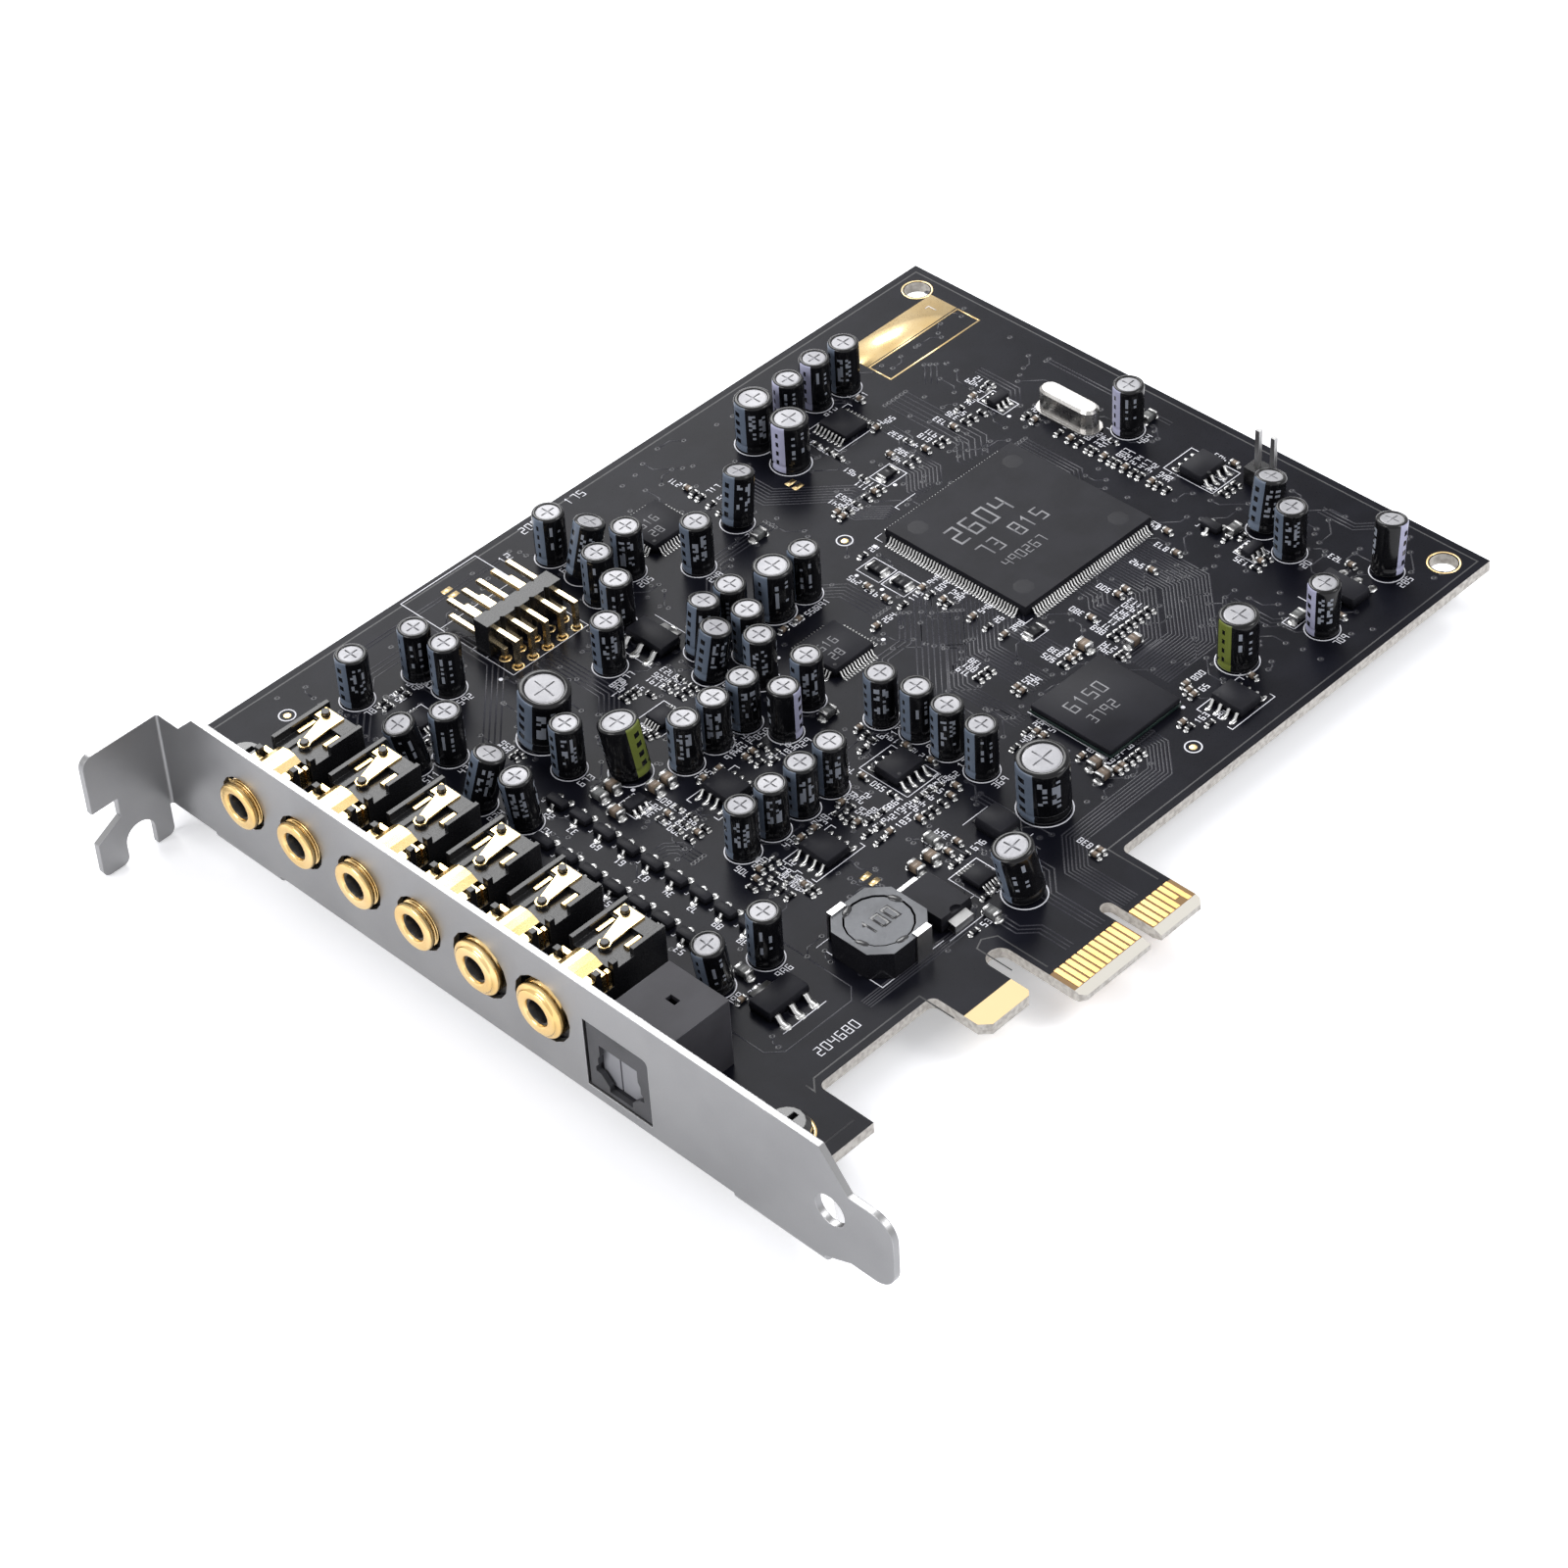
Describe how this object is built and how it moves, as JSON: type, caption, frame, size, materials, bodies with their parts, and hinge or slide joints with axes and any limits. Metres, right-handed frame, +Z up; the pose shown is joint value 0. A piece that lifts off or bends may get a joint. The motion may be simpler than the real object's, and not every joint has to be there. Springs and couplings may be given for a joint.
{
  "type": "pci sound card",
  "caption": "Short PCI sound card: circuit board with edge connector, folded steel bracket, jack sockets, optical socket, chips and can capacitors.",
  "frame": {"origin": "on the bracket's outer face, level with the board's component side and the line where the gold contacts begin", "axes": "+X from the bracket into the board, +Y along the bracket towards its bent tab, +Z up from the component side"},
  "size_m": [0.15, 0.1259, 0.0216],
  "materials": {
    "black_board": "black solder resist over fibreglass",
    "gold": "gold plating",
    "bracket_steel": "nickel-plated steel sheet",
    "black_screw": "glossy black oxide",
    "black_plastic": "moulded black plastic",
    "dark_grey_plastic": "moulded dark grey plastic",
    "grey_plastic": "moulded grey plastic",
    "chip_black": "moulded chip compound",
    "tin": "tin plating",
    "green_laminate": "chip carrier laminate",
    "can_sleeve": "glossy black sleeve",
    "ferrite": "grey ferrite",
    "crystal_steel": "brushed steel can",
    "ceramic": "glazed ceramic"
  },
  "bodies": {
    "card": {"bracket": "bracket_steel", "bracket_screws": "black_screw", "bridge_chip_balls": "tin", "bridge_chip_carrier": "green_laminate", "bridge_chip_cover": "chip_black", "ceramic_capacitors": "ceramic", "chip_inductors": "ceramic", "circuit_board": "black_board", "codec_chip_leads": "tin", "codec_chips": "chip_black", "crystal_can": "crystal_steel", "diode_ends": "tin", "edge_contacts": "gold", "front_header_base": "black_plastic", "front_header_pins": "gold", "inductor_clips": "tin", "inductor_core": "ferrite", "inductor_shell": "ferrite", "jack_body_1": "black_plastic", "jack_body_2": "black_plastic", "jack_body_3": "black_plastic", "jack_body_4": "black_plastic", "jack_body_5": "black_plastic", "jack_body_6": "black_plastic", "jack_bushing_1": "gold", "jack_bushing_2": "gold", "jack_bushing_3": "gold", "jack_bushing_4": "gold", "jack_bushing_5": "gold", "jack_bushing_6": "gold", "jack_springs_1": "gold", "jack_springs_2": "gold", "jack_springs_3": "gold", "jack_springs_4": "gold", "jack_springs_5": "gold", "jack_springs_6": "gold", "jumper_header_base": "black_plastic", "jumper_header_pins": "tin", "large_capacitors": "can_sleeve", "main_chip": "chip_black", "main_chip_leads": "tin", "medium_capacitors": "can_sleeve", "optical_emitter": "black_plastic", "optical_frame": "grey_plastic", "optical_housing": "dark_grey_plastic", "power_diode": "chip_black", "regulator_tabs": "tin", "regulators": "chip_black", "resistor_networks": "ceramic", "signal_capacitors": "can_sleeve", "small_chip_leads": "tin", "small_chips": "chip_black", "supply_capacitors": "can_sleeve", "transistor_leads": "tin", "transistors": "chip_black"},
    "shutter": {"optical_shutter": "grey_plastic"}
  },
  "joints": [
    {"name": "shutter_hinge", "type": "hinge", "parent": "card", "child": "shutter", "pos_m": [0.00166, 0.0216, 0.0084], "axis": [0, -1, 0], "range_deg": [0, 80], "stiffness_Nm_per_rad": 0.00005, "springref_deg": -57.3}
  ]
}
